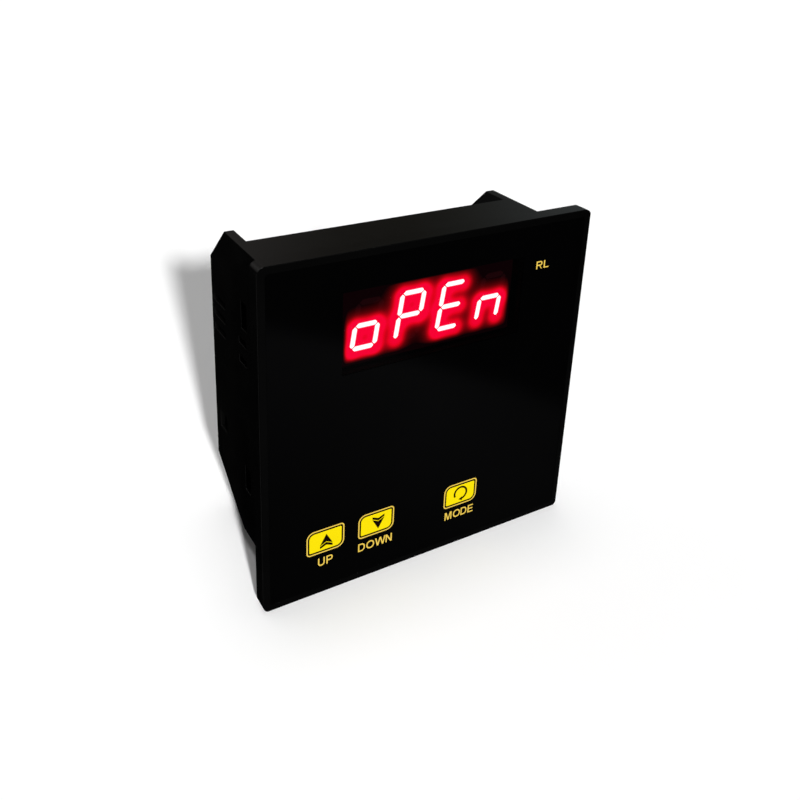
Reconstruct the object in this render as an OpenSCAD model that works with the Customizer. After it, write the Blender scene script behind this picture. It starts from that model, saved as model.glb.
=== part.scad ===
// Panel-mount temperature controller with a square front.
// X runs to the right as seen from the front, Y runs into the panel and Z is up.
// The origin is the centre of the panel cut-out, on the plane where the bezel meets the panel.

/* [Bezel] */
// Side of the square front frame
bezel_size = 96; // [88:0.5:110]
// How far the front frame stands past each side cheek
bezel_over_side = 5.8; // [5:0.1:8]
// How far the front frame stands past the top and bottom panels
bezel_over_top = 4.7; // [3.2:0.1:5]
// Depth of the front frame
bezel_t = 4.6; // [4.2:0.1:7]
// Corner radius of the front frame
bezel_corner_r = 2; // [0.5:0.1:4]
// Width of the slope along the front edges
bezel_slope = 0.2; // [0.1:0.1:1]
// Wall of the skirt that meets the panel
skirt_t = 2.2; // [1.6:0.1:2.6]
// Wall behind the front film
front_wall_t = 1.8; // [1.2:0.1:2.2]
// Width of the rim around the front film
rim_w = 2; // [1:0.1:4]
// Thickness of the front film
film_t = 0.5; // [0.3:0.05:0.6]
// How far the film lies below the rim
film_set_back = 0.1; // [0:0.05:0.2]
// Corner radius of the front film
film_corner_r = 1; // [0.5:0.1:3]
// Length of the collar that enters the case
collar_l = 3; // [2:0.1:4]
// Wall of the collar and of the snap arms
collar_t = 1.5; // [1.2:0.1:2]
// Width of each snap arm
arm_w = 7; // [5:0.1:8]
// Height of the snap arms above and below the middle
arm_z = 24.6; // [20:0.1:28]
// Depth of the hook on each snap arm
hook_depth = 1.4; // [0.8:0.1:2]
// Length of the hook on each snap arm
hook_l = 3; // [2:0.1:4]

/* [Case] */
// How far the top and bottom panels reach behind the panel plane
panel_depth = 23; // [20:0.5:28]
// Depth of the terminal recesses behind the top and bottom panels
recess_depth = 20; // [19:0.5:28]
// Height of the closed box between the two terminal recesses
rear_box_h = 52; // [50:0.5:54]
// Wall of the side cheeks
cheek_t = 2.6; // [2.2:0.1:3.2]
// Wall of the top and bottom panels
panel_t = 2.2; // [1.6:0.1:2.6]
// Wall of the inner steps, shelves and back
inner_wall_t = 2; // [1.6:0.1:2.2]
// Run of the slope at the upper rear corner of each cheek
upper_slope_run = 11.4; // [6:0.2:16]
// Drop of the slope at the upper rear corner of each cheek
upper_slope_drop = 10.6; // [6:0.2:14]
// Run of the steep slope at the lower rear corner of each cheek
lower_slope_run = 13.8; // [8:0.2:16]
// Rise of the steep slope at the lower rear corner of each cheek
lower_slope_rise = 10.2; // [6:0.2:11]
// Length of the grooves near the back of each cheek
rear_groove_l = 8; // [5:0.2:10]
// Length of the grooves near the front of each cheek
front_groove_l = 5; // [3:0.2:6]
// Height of each groove
groove_h = 1.8; // [1.2:0.1:2.4]
// Distance from groove to groove near the back
rear_groove_pitch = 4.4; // [3.6:0.1:5]
// Distance from groove to groove near the front
front_groove_pitch = 5.4; // [3.6:0.1:6]
// Height of the lowest groove near the back
rear_groove_z = 12.7; // [10:0.1:14]
// Height of the lowest groove near the front
front_groove_z = 11.4; // [6:0.1:13]
// Depth of the grooves and of the lower pocket
groove_depth = 1.5; // [0.5:0.1:1.8]
// Side of the square pocket in the lower half of each cheek
pocket_size = 5; // [3:0.1:7]
// Height of that pocket below the middle
pocket_drop = 16; // [10:0.1:18]

/* [Display] */
// Distance from digit to digit
digit_pitch = 12.3; // [12:0.05:13]
// Height of a character
digit_h = 13.7; // [12:0.1:14.4]
// Width of a character
digit_w = 7.8; // [7:0.1:8.4]
// Width of one bar of a character
bar_w = 1.5; // [1:0.05:1.8]
// Gap at the tip of each bar
bar_gap = 0.18; // [0.05:0.01:0.3]
// Lean of the characters in degrees
digit_lean = 8.4; // [0:0.2:10]
// Height of a digit module
digit_module_h = 19; // [18:0.1:20]
// Depth of a digit module
digit_module_t = 8; // [7:0.1:8.4]
// How far the digit faces lie behind the front of the bezel
digit_set_back = 3; // [2.9:0.05:3.6]
// Distance from the top edge of the front to the middle of the digits
display_drop = 21.2; // [20:0.1:24]
// Distance from the right edge of the front to the relay lamp
lamp_inset = 15; // [13.5:0.1:17]
// Distance from the top edge of the front to the relay lamp
lamp_drop = 18.5; // [14:0.1:22]
// Diameter of the relay lamp
lamp_d = 3; // [2:0.1:4]

/* [Keys] */
// Width of a key
key_w = 9.3; // [8:0.1:10.4]
// Height of a key
key_h = 5.8; // [5.5:0.1:8]
// Radius of the wide corners of a key
key_wide_r = 1.5; // [1:0.1:2.7]
// Radius of the tight corners of a key
key_tight_r = 0.4; // [0.3:0.1:1.5]
// How far the face of a key lies behind the front of the bezel
key_set_back = 0.05; // [0:0.05:0.2]
// Gap around each key
key_gap = 0.35; // [0.2:0.05:0.5]
// How far a key moves when pressed
key_travel = 0.3; // [0.1:0.05:0.5]
// How far the flange of a key reaches past its window
key_flange = 0.7; // [0.4:0.1:1]
// Thickness of the flange of a key
key_flange_t = 0.8; // [0.5:0.1:1]
// Diameter of the stem behind a key
key_stem_d = 4; // [3:0.1:5]
// Distance from the bottom edge of the front to the middle of the keys
key_rise = 16.6; // [15:0.1:18]
// Distance from the left edge of the front to the middle of the up key
key_up_inset = 17.5; // [17:0.1:19]
// Distance from the up key to the down key
key_pitch = 15; // [14:0.1:17]
// Distance from the right edge of the front to the middle of the mode key
key_mode_inset = 36.5; // [34:0.1:42]
// Side of a key switch
switch_size = 6; // [5.6:0.1:7]
// Height of the body of a key switch
switch_h = 3.5; // [3.2:0.1:4]
// Diameter of the plunger of a key switch
plunger_d = 3.5; // [2.5:0.1:3.8]

/* [Boards] */
// Thickness of both circuit boards
board_t = 1.6; // [1:0.1:2]
// Gap between a board and the walls beside it
board_gap = 0.7; // [0.4:0.05:1]
// Distance of the display board screws from the edge of the board
board_screw_inset = 3.5; // [3:0.1:5]
// Height of the upper display board screws
board_screw_upper_z = 10; // [6:0.1:12]
// Drop of the lower display board screws
board_screw_lower_drop = 18; // [12:0.1:20]
// Shank diameter of the display board screws
board_screw_d = 2.4; // [2:0.1:3]
// Shank diameter of the main board screws
main_screw_d = 2.8; // [2.2:0.1:3]
// Distance of the main board posts from the walls beside them
post_inset = 5.2; // [4.6:0.1:6]
// Pin pairs of the connector between the boards
connector_pairs = 6; // [3:1:10]
// Pin pitch of the connector between the boards
connector_pitch = 2.54; // [2:0.01:2.6]
// Distance of the connector from the right edge of the display board
connector_inset = 13; // [11:0.1:16]
// Distance of the connector from the bottom edge of the display board
connector_rise = 9.2; // [6:0.1:11]

/* [Terminals] */
// Terminals in each row
pole_count = 8; // [4:1:8]
// Distance from terminal to terminal
pole_pitch = 7.62; // [7:0.01:7.7]
// Depth of a terminal block along the recess
block_t = 14.5; // [13:0.1:16]
// Height of a terminal block above its shelf
block_h = 10; // [9:0.1:11]
// Wall at each end of a terminal block
block_end = 0.8; // [0.4:0.1:1]
// Slope at the outer rear edge of a terminal block
block_slope = 3; // [1:0.1:4]
// Side of a wire entry
entry_size = 3.8; // [3:0.1:3.9]
// Depth of a wire entry
entry_depth = 7.5; // [6:0.1:8]
// Diameter of the well above each terminal screw
well_d = 4.4; // [4.2:0.1:5]
// Head diameter of a terminal screw
terminal_head_d = 4; // [3.6:0.1:4]
// Shank diameter of a terminal screw
terminal_screw_d = 2.6; // [2:0.1:2.8]

/* [Power parts] */
// Length of the transformer core
core_l = 28; // [26:0.1:30]
// Height of the transformer core above its foot
core_h = 16; // [15:0.1:17]
// Thickness of the stack of core sheets
core_stack = 10; // [8:0.1:11]
// Width of the outer legs of the core
core_leg = 4; // [3.4:0.1:4.4]
// Height of the yokes of the core
core_yoke = 3.5; // [3:0.1:4]
// Width of the two windows in the core
core_window = 5.2; // [4.6:0.1:5.6]
// Length of the relay
relay_l = 19; // [17:0.1:20]
// Width of the relay
relay_w = 15.4; // [13:0.1:17]
// Height of the relay
relay_h = 15.5; // [12:0.1:17]
// Diameter of the filter capacitor
filter_d = 10; // [8:0.1:12]
// Height of the filter capacitor
filter_h = 16; // [12:0.1:17]
// Diameter of the output capacitor
output_d = 8; // [6:0.1:10]
// Height of the output capacitor
output_h = 11.5; // [9:0.1:15]
// Gap between neighbouring parts on the main board
part_gap = 2; // [1:0.1:2.4]

/* [Hidden] */
$fn = 48;

// Fits shared by several parts
slip = 0.15;
screw_slip = 0.05;
part_slip = 0.3;
rest_gap = 0.1;
overcut = 1;

// Planes along Y, counted from the front of the bezel to the back of the case
front_y = -bezel_t;
film_front_y = front_y + film_set_back;
film_back_y = film_front_y + film_t;
wall_back_y = film_back_y + front_wall_t;
digit_face_y = front_y + digit_set_back;
display_board_y = digit_face_y + digit_module_t;
display_back_y = display_board_y + board_t;
case_depth = panel_depth + recess_depth;
step_front_y = panel_depth - inner_wall_t;
main_front_y = step_front_y - board_t;

// Sizes across the front
film_size = bezel_size - 2 * rim_w;
case_w = bezel_size - 2 * bezel_over_side;
case_h = bezel_size - 2 * bezel_over_top;
case_in_w = case_w - 2 * cheek_t;
case_in_h = case_h - 2 * panel_t;
collar_w = case_in_w - 2 * slip;
collar_h = case_in_h - 2 * slip;
display_board_w = collar_w - 2 * collar_t - 2 * board_gap;
display_board_h = collar_h - 2 * collar_t - 2 * board_gap;
main_board_w = case_in_w - 2 * board_gap;
main_board_h = case_in_h - 2 * board_gap;
digit_xs = [for (i = [0:3]) (i - 1.5) * digit_pitch];
digit_module_w = digit_pitch - rest_gap;
window_side_gap = 2;
window_end_gap = 1.5;
window_corner_r = 1;
window_w = 4 * digit_pitch + 2 * window_side_gap;
window_h = digit_module_h + 2 * window_end_gap;
bar_t = 0.4;
display_z = bezel_size / 2 - display_drop;
lamp_x = bezel_size / 2 - lamp_inset;
lamp_z = bezel_size / 2 - lamp_drop;
key_z = key_rise - bezel_size / 2;
key_up_x = key_up_inset - bezel_size / 2;
key_down_x = key_up_x + key_pitch;
key_mode_x = bezel_size / 2 - key_mode_inset;
lamp_foot_t = 1;
lamp_foot_rim = 0.4;

// Snap arms, each with a hook that ends short of the inner step of the case
hook_tip_l = 0.6;
arm_end_y = step_front_y - part_slip;
hook_y = arm_end_y - hook_l;

// Display board screws
board_screw_x = display_board_w / 2 - board_screw_inset;
board_screw_l = 5;
board_screw_head_d = 1.9 * board_screw_d;
board_screw_head_h = 1.5;
boss_wall = 1.5;
board_screw_spots = [
    for (side = [-1, 1], z = [-board_screw_lower_drop, board_screw_upper_z]) [side * board_screw_x, z]
];

// Key switches
switch_top_y = display_board_y - switch_h;
switch_cover_t = 0.6;
switch_floor_gap = 0.6;
key_face_y = front_y + key_set_back;
key_flange_y = wall_back_y + rest_gap;
key_stem_y = key_flange_y + key_flange_t;
plunger_rise = 2.5;
plunger_top_y = switch_top_y - plunger_rise;
plunger_lip = 0.45;
plunger_lip_t = 0.6;
switch_room_t = rest_gap + plunger_lip_t + key_travel + switch_floor_gap;

// Terminal rows
shelf_z = rear_box_h / 2;
block_w = pole_count * pole_pitch + 2 * block_end;
block_z = shelf_z + part_slip;
block_top_z = block_z + block_h;
block_back_y = step_front_y + block_t;
pole_xs = [for (i = [0:pole_count - 1]) (i - (pole_count - 1) / 2) * pole_pitch];
entry_wall = 0.8;
entry_y = panel_depth + entry_wall;
entry_floor_z = block_top_z - entry_depth;
screw_lift = 0.4;
screw_z = entry_floor_z + entry_size / 2 + screw_lift;
well_wall = 2.8;
well_floor_y = entry_y + entry_size + well_wall;
seam_w = 0.4;
seam_depth = 0.5;
clamp_t = 0.8;
clamp_slip = 0.1;
clamp_set_down = 1;
terminal_head_h = 2.2;

// Cheeks of the case
lower_corner_drop = 3.2;
rear_groove_inset = 2;
rear_groove_y = case_depth - rear_groove_inset - rear_groove_l;
front_groove_y = panel_depth - front_groove_l;

// Main board screws, in posts at the corners of the closed box
main_screw_x = case_in_w / 2 - post_inset;
main_screw_z = shelf_z - inner_wall_t - post_inset;
main_screw_l = 7.5;
main_screw_head_d = 5;
main_screw_head_h = 1.8;
post_d = main_screw_d + 2 * boss_wall;
main_screw_spots = [for (side = [-1, 1], level = [-1, 1]) [side * main_screw_x, level * main_screw_z]];

// Parts on the main board, from left to right
core_x = -display_board_w / 2 + part_gap + core_l / 2;
core_foot = 1.6;
core_y = step_front_y + core_foot;
coil_slip = 0.2;
flange_t = 0.7;
coil_half_x = core_l / 2 - core_leg - 2 * coil_slip;
coil_half_z = core_stack / 2 + core_window - 2 * coil_slip;
leg_w = core_l - 2 * core_leg - 2 * core_window;
tube_wall = 0.5;
flange_low_y = core_y + core_yoke + coil_slip;
flange_high_y = core_y + core_h - core_yoke - coil_slip;
right_x = core_x + core_l / 2 + part_gap;
relay_corner_r = 0.8;
relay_x = right_x + relay_l / 2;
relay_z = part_gap / 2 + relay_w / 2;
filter_x = right_x + filter_d / 2;
filter_z = -part_gap / 2 - filter_d / 2;
output_x = right_x + filter_d + part_gap + output_d / 2;
output_z = -part_gap / 2 - output_d / 2;
rectifier_l = 8.5;
rectifier_w = 6.4;
rectifier_h = 3.4;
rectifier_leg_h = 0.6;
rectifier_leg_pitch = 5.08;
rectifier_leg_w = 1.2;
rectifier_leg_t = 0.5;
rectifier_x = right_x + relay_l + part_gap + rectifier_l / 2;
regulator_w = 10;
regulator_t = 4.4;
regulator_h = 9;
regulator_tab_t = 1.3;
regulator_tab_h = 15;
regulator_leg_h = 3;
regulator_leg_pitch = 2.54;
regulator_leg_w = 0.9;
regulator_leg_t = 0.6;
regulator_hole_d = 3.6;
regulator_x = output_x + output_d / 2 + part_gap + regulator_w / 2;
regulator_z = output_z;

// Connector between the two boards
connector_x = display_board_w / 2 - connector_inset;
connector_z = connector_rise - display_board_h / 2;
connector_w = connector_pairs * connector_pitch;
connector_h = 2 * connector_pitch;
connector_base_t = 2.5;
pin_size = 0.64;
pin_slip = 0.13;
pin_l = 4.5;

// Microcontroller on the back of the display board
chip_l = 35;
chip_w = 7.6;
chip_t = 3.4;
chip_leg_h = 0.8;
chip_leg_w = 1;
chip_leg_t = 0.5;
chip_leg_pitch = 2.54;
chip_legs = 14;

// A flat shape in X and Z, drawn out between two planes along Y
module along_y(y0, y1) {
    translate([0, y1, 0]) rotate([90, 0, 0]) linear_extrude(y1 - y0) children();
}

// A flat shape in Y and Z, drawn out between two planes along X
module along_x(x0, x1) {
    translate([x0, 0, 0]) rotate([90, 0, 90]) linear_extrude(x1 - x0) children();
}

// A block centred at x and z, between two planes along Y
module block_at(x, z, w, h, y0, y1) {
    translate([x - w / 2, y0, z - h / 2]) cube([w, y1 - y0, h]);
}

// A round bar along Y centred at x and z, between two planes
module bar_at(x, z, d, y0, y1) {
    translate([x, y0, z]) rotate([-90, 0, 0]) cylinder(d = d, h = y1 - y0);
}

function corner_sign(q) = [q == 0 || q == 3 ? 1 : -1, q < 2 ? 1 : -1];

// A rectangle with its own radius at each corner, from the upper right one anticlockwise
module rounded(w, h, radii) {
    difference() {
        square([w, h], center = true);
        for (q = [0:3]) {
            r = radii[q];
            sign = corner_sign(q);
            translate([sign.x * (w / 2 - r), sign.y * (h / 2 - r)]) rotate(90 * q) difference() {
                square(r + overcut);
                circle(r);
            }
        }
    }
}

module even_rounded(w, h, r) {
    rounded(w, h, [r, r, r, r]);
}

// Outline of a key, grown evenly by a margin
module key_outline(margin) {
    wide = key_wide_r + margin;
    tight = key_tight_r + margin;
    rounded(key_w + 2 * margin, key_h + 2 * margin, [tight, wide, tight, wide]);
}

// A screw with a cross recess, its head above z = 0 and its shank below
module screw(shank_d, shank_l, head_d, head_h) {
    recess_w = head_d / 6;
    recess_l = 0.62 * head_d;
    recess_h = 0.55 * head_h;
    difference() {
        union() {
            cylinder(d = head_d, h = head_h);
            translate([0, 0, -shank_l]) cylinder(d = shank_d, h = shank_l);
        }
        for (turn = [0, 90]) {
            rotate(turn) translate([-recess_l / 2, -recess_w / 2, head_h - recess_h])
                cube([recess_l, recess_w, recess_h + overcut]);
        }
    }
}

// Front frame: rim, wall behind the film, skirt, collar, snap arms and bosses, moulded in one
module front_bezel() {
    color([0.05, 0.05, 0.055]) difference() {
        union() {
            difference() {
                bezel_block();
                along_y(wall_back_y, overcut)
                    square(bezel_size - 2 * skirt_t, center = true);
            }
            difference() {
                along_y(wall_back_y, collar_l) square([collar_w, collar_h], center = true);
                along_y(wall_back_y - overcut, collar_l + overcut)
                    square([collar_w - 2 * collar_t, collar_h - 2 * collar_t], center = true);
            }
            for (side = [0, 1], level = [-1, 1]) {
                mirror([side, 0, 0]) translate([0, 0, level * arm_z]) snap_arm();
            }
            for (spot = board_screw_spots) {
                bar_at(spot.x, spot.y, board_screw_d + 2 * boss_wall, wall_back_y, display_board_y);
            }
        }
        along_y(front_y - overcut, film_back_y)
            even_rounded(film_size + slip, film_size + slip, film_corner_r);
        along_y(film_back_y - overcut, wall_back_y + overcut) {
            translate([0, display_z]) even_rounded(window_w, window_h, window_corner_r);
            translate([lamp_x, lamp_z]) circle(d = lamp_d + part_slip);
            key_windows();
        }
        for (spot = board_screw_spots) {
            bar_at(spot.x, spot.y, board_screw_d + 2 * screw_slip,
                display_board_y - board_screw_l, display_board_y + overcut);
        }
    }
}

// The square block of the front frame, with sloped front edges
module bezel_block() {
    slope_side = bezel_slope * sqrt(2);
    difference() {
        along_y(front_y, 0) even_rounded(bezel_size, bezel_size, bezel_corner_r);
        for (turn = [0:90:270]) {
            rotate([0, turn, 0]) translate([0, front_y, bezel_size / 2]) rotate([45, 0, 0])
                cube([bezel_size + 2 * overcut, slope_side, slope_side], center = true);
        }
    }
}

// One arm of the right side, with its hook in the window of the cheek
module snap_arm() {
    arm_x = collar_w / 2;
    translate([0, 0, -arm_w / 2]) linear_extrude(arm_w) polygon([
        [arm_x - collar_t, wall_back_y],
        [arm_x, wall_back_y],
        [arm_x, hook_y],
        [arm_x + hook_depth, hook_y],
        [arm_x + hook_depth, hook_y + hook_tip_l],
        [arm_x, arm_end_y],
        [arm_x - collar_t, arm_end_y]
    ]);
}

module key_windows() {
    for (x = [key_up_x, key_down_x, key_mode_x]) {
        translate([x, key_z]) key_outline(key_gap);
    }
}

// Printed polycarbonate sheet over the whole front, open only at the keys
module front_film() {
    color([0.02, 0.02, 0.025]) along_y(film_front_y, film_back_y) difference() {
        even_rounded(film_size, film_size, film_corner_r);
        key_windows();
    }
}

// Key cap with a flange behind the front wall and a stem down to its switch
module key_cap(x) {
    color([0.98, 0.85, 0.05]) union() {
        along_y(key_face_y, key_flange_y) translate([x, key_z]) key_outline(0);
        along_y(key_flange_y, key_stem_y) translate([x, key_z]) key_outline(key_gap + key_flange);
        bar_at(x, key_z, key_stem_d, key_stem_y, plunger_top_y);
    }
}

module key_up() { key_cap(key_up_x); }
module key_down() { key_cap(key_down_x); }
module key_mode() { key_cap(key_mode_x); }

// Plunger of a key switch, held under the switch cover by its lip
module plunger(x) {
    lip_y = switch_top_y + switch_cover_t + rest_gap;
    color([0.12, 0.12, 0.12]) union() {
        bar_at(x, key_z, plunger_d, plunger_top_y, lip_y);
        bar_at(x, key_z, plunger_d + 2 * plunger_lip, lip_y, lip_y + plunger_lip_t);
    }
}

module plunger_up() { plunger(key_up_x); }
module plunger_down() { plunger(key_down_x); }
module plunger_mode() { plunger(key_mode_x); }

// Body of a key switch, with a round opening and a room for the plunger lip
module key_switch(x) {
    opening_d = plunger_d + 2 * rest_gap;
    room_d = opening_d + 2 * plunger_lip + 2 * rest_gap;
    room_y = switch_top_y + switch_cover_t;
    color([0.2, 0.2, 0.22]) difference() {
        block_at(x, key_z, switch_size, switch_size, switch_top_y, display_board_y);
        bar_at(x, key_z, opening_d, switch_top_y - overcut, room_y + rest_gap);
        bar_at(x, key_z, room_d, room_y, room_y + switch_room_t);
    }
}

module switch_up() { key_switch(key_up_x); }
module switch_down() { key_switch(key_down_x); }
module switch_mode() { key_switch(key_mode_x); }

function lean(p) = [p.x + p.y * tan(digit_lean), p.y];

// One bar of a character between two corners, with pointed ends
module bar_shape(from, to) {
    step = (to - from) / norm(to - from);
    across = [-step.y, step.x] * bar_w / 2;
    near = from + step * (bar_gap + bar_w / 2);
    far = to - step * (bar_gap + bar_w / 2);
    points = [
        from + step * bar_gap, near + across, far + across,
        to - step * bar_gap, far - across, near - across
    ];
    polygon([for (p = points) lean(p)]);
}

// The seven bars and the point of one character
module digit_shape() {
    half_w = (digit_w - bar_w) / 2;
    half_h = (digit_h - bar_w) / 2;
    for (z = [-half_h, 0, half_h]) {
        bar_shape([-half_w, z], [half_w, z]);
    }
    for (x = [-half_w, half_w], z = [-half_h, 0]) {
        bar_shape([x, z], [x, z + half_h]);
    }
    translate([digit_w / 2 + bar_w / 2, -half_h]) circle(d = bar_w);
}

// Housing of one digit, open at its bars
module led_digit(i) {
    color([0.1, 0.1, 0.1]) difference() {
        block_at(digit_xs[i], display_z, digit_module_w, digit_module_h, digit_face_y, display_board_y);
        along_y(digit_face_y - overcut, digit_face_y + bar_t)
            translate([digit_xs[i], display_z]) digit_shape();
    }
}

// The clear bars of one digit, flush with its face
module digit_bars(i) {
    color([0.9, 0.1, 0.15]) along_y(digit_face_y, digit_face_y + bar_t)
        translate([digit_xs[i], display_z]) digit_shape();
}

module led_digit_1() { led_digit(0); }
module led_digit_2() { led_digit(1); }
module led_digit_3() { led_digit(2); }
module led_digit_4() { led_digit(3); }
module digit_bars_1() { digit_bars(0); }
module digit_bars_2() { digit_bars(1); }
module digit_bars_3() { digit_bars(2); }
module digit_bars_4() { digit_bars(3); }

// Round lamp on a foot, with its dome in the hole of the front wall
module relay_lamp() {
    dome_y = wall_back_y + part_slip + lamp_d / 2;
    foot_d = lamp_d + 2 * lamp_foot_rim;
    color([0.7, 0.1, 0.1]) union() {
        translate([lamp_x, dome_y, lamp_z]) sphere(d = lamp_d);
        bar_at(lamp_x, lamp_z, lamp_d, dome_y, display_board_y);
        bar_at(lamp_x, lamp_z, foot_d, display_board_y - lamp_foot_t, display_board_y);
    }
}

module display_board() {
    color([0.05, 0.3, 0.15]) along_y(display_board_y, display_back_y) difference() {
        square([display_board_w, display_board_h], center = true);
        for (spot = board_screw_spots) {
            translate(spot) circle(d = board_screw_d + part_slip);
        }
    }
}

module display_board_screws() {
    shank_l = board_t + board_screw_l - part_slip;
    color([0.7, 0.7, 0.72]) for (spot = board_screw_spots) {
        translate([spot.x, display_back_y, spot.y]) rotate([-90, 0, 0])
            screw(board_screw_d, shank_l, board_screw_head_d, board_screw_head_h);
    }
}

// Long chip on two rows of legs, on the back of the display board
module microcontroller() {
    foot_y = display_back_y + chip_leg_h;
    leg_row = (chip_legs - 1) * chip_leg_pitch;
    color([0.08, 0.08, 0.08]) union() {
        block_at(0, 0, chip_l, chip_w, foot_y, foot_y + chip_t);
        for (i = [0:chip_legs - 1], row = [-1, 1]) {
            block_at(i * chip_leg_pitch - leg_row / 2, row * chip_w / 2, chip_leg_w, chip_leg_t,
                display_back_y, foot_y + chip_t / 2);
        }
    }
}

module connector_spots() {
    for (i = [0:connector_pairs - 1], row = [-1, 1]) {
        x = connector_x + (i - (connector_pairs - 1) / 2) * connector_pitch;
        translate([x, 0, connector_z + row * connector_pitch / 2]) children();
    }
}

// Pin strip on the back of the display board
module connector_pins() {
    base_end_y = display_back_y + connector_base_t;
    color([0.1, 0.1, 0.1]) union() {
        block_at(connector_x, connector_z, connector_w, connector_h, display_back_y, base_end_y);
        connector_spots() block_at(0, 0, pin_size, pin_size, base_end_y, base_end_y + pin_l);
    }
}

// Socket strip on the front of the main board, around the pins
module connector_socket() {
    mouth_y = display_back_y + connector_base_t + part_slip;
    hole = pin_size + 2 * pin_slip;
    color([0.12, 0.12, 0.12]) difference() {
        block_at(connector_x, connector_z, connector_w, connector_h, mouth_y, main_front_y);
        connector_spots() block_at(0, 0, hole, hole, mouth_y - overcut, mouth_y + pin_l);
    }
}

// Board with a notch beside each snap arm
module main_board() {
    color([0.05, 0.3, 0.15]) along_y(main_front_y, step_front_y) difference() {
        square([main_board_w, main_board_h], center = true);
        for (side = [0, 1], level = [-1, 1]) {
            mirror([side, 0]) translate([display_board_w / 2, level * arm_z - arm_w / 2 - board_gap])
                square([main_board_w / 2, arm_w + 2 * board_gap]);
        }
        for (spot = main_screw_spots) {
            translate(spot) circle(d = main_screw_d + part_slip);
        }
    }
}

module main_board_screws() {
    color([0.7, 0.7, 0.72]) for (spot = main_screw_spots) {
        translate([spot.x, main_front_y, spot.y]) rotate([90, 0, 0])
            screw(main_screw_d, main_screw_l, main_screw_head_d, main_screw_head_h);
    }
}

// Stack of steel sheets with two windows and a middle leg
module transformer_core() {
    window_x = leg_w / 2 + core_window / 2;
    color([0.35, 0.35, 0.37]) difference() {
        block_at(core_x, 0, core_l, core_stack, core_y, core_y + core_h);
        for (side = [-1, 1]) {
            block_at(core_x + side * window_x, 0, core_window, core_stack + 2 * overcut,
                core_y + core_yoke, core_y + core_h - core_yoke);
        }
    }
}

// Bobbin: a tube on the middle leg, a flange at each end and two feet on the board
module transformer_bobbin() {
    hole_w = leg_w + 2 * coil_slip;
    hole_h = core_stack + 2 * coil_slip;
    foot_w = coil_half_z - hole_h / 2;
    color([0.15, 0.15, 0.16]) difference() {
        union() {
            block_at(core_x, 0, hole_w + 2 * tube_wall, hole_h + 2 * tube_wall,
                flange_low_y, flange_high_y);
            for (y = [flange_low_y, flange_high_y - flange_t]) {
                block_at(core_x, 0, 2 * coil_half_x, 2 * coil_half_z, y, y + flange_t);
            }
            for (side = [-1, 1]) {
                block_at(core_x, side * (hole_h + foot_w) / 2, 2 * coil_half_x, foot_w,
                    step_front_y, flange_low_y);
            }
        }
        block_at(core_x, 0, hole_w, hole_h, flange_low_y - overcut, flange_high_y + overcut);
    }
}

// Wound wire between the flanges of the bobbin
module transformer_coil() {
    hole_w = leg_w + 2 * coil_slip + 2 * tube_wall;
    hole_h = core_stack + 2 * coil_slip + 2 * tube_wall;
    inset = 0.4;
    color([0.75, 0.55, 0.15]) difference() {
        block_at(core_x, 0, 2 * (coil_half_x - inset), 2 * (coil_half_z - inset),
            flange_low_y + flange_t, flange_high_y - flange_t);
        block_at(core_x, 0, hole_w, hole_h, flange_low_y, flange_high_y);
    }
}

// Sealed box relay
module relay() {
    color([0.1, 0.2, 0.5]) translate([relay_x, 0, relay_z])
        along_y(step_front_y, step_front_y + relay_h) even_rounded(relay_l, relay_w, relay_corner_r);
}

// Round can on end, with a crimp groove near its foot and an eased top edge
module can(x, z, d, h) {
    r = d / 2;
    groove_y = 2.2;
    groove_r = 0.5;
    ease = 0.5;
    translate([x, step_front_y, z]) rotate([-90, 0, 0]) difference() {
        rotate_extrude() polygon([[0, 0], [r, 0], [r, h - ease], [r - ease, h], [0, h]]);
        translate([0, 0, groove_y]) rotate_extrude() translate([r + groove_r / 2, 0]) circle(groove_r);
    }
}

module filter_capacitor() {
    color([0.1, 0.1, 0.3]) can(filter_x, filter_z, filter_d, filter_h);
}

module output_capacitor() {
    color([0.1, 0.1, 0.3]) can(output_x, output_z, output_d, output_h);
}

// Upright regulator: moulded body, metal tab with a hole and three legs
module voltage_regulator() {
    body_y = step_front_y + regulator_leg_h;
    tab_z = regulator_z - regulator_t / 2 + regulator_tab_t / 2;
    hole_y = body_y + (regulator_h + regulator_tab_h) / 2;
    color([0.1, 0.1, 0.1]) union() {
        block_at(regulator_x, regulator_z, regulator_w, regulator_t, body_y, body_y + regulator_h);
        difference() {
            block_at(regulator_x, tab_z, regulator_w, regulator_tab_t, body_y, body_y + regulator_tab_h);
            translate([regulator_x, hole_y, tab_z])
                cylinder(d = regulator_hole_d, h = 2 * regulator_tab_t, center = true);
        }
        for (i = [-1:1]) {
            block_at(regulator_x + i * regulator_leg_pitch, regulator_z, regulator_leg_w, regulator_leg_t,
                step_front_y, body_y);
        }
    }
}

module bridge_rectifier() {
    body_y = step_front_y + rectifier_leg_h;
    color([0.1, 0.1, 0.1]) union() {
        block_at(rectifier_x, relay_z, rectifier_l, rectifier_w, body_y, body_y + rectifier_h);
        for (side = [-1, 1], row = [-1, 1]) {
            block_at(rectifier_x + side * rectifier_leg_pitch / 2, relay_z + row * rectifier_w / 2,
                rectifier_leg_w, rectifier_leg_t, step_front_y, body_y + rectifier_h / 2);
        }
    }
}

// Section of the upper terminal block in Y and Z, its top and back taken in by a margin
module block_section(margin) {
    back_y = block_back_y - margin;
    top_z = block_top_z - margin;
    polygon([
        [step_front_y, block_z],
        [back_y, block_z],
        [back_y, top_z - block_slope],
        [back_y - block_slope, top_z],
        [step_front_y, top_z]
    ]);
}

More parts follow.
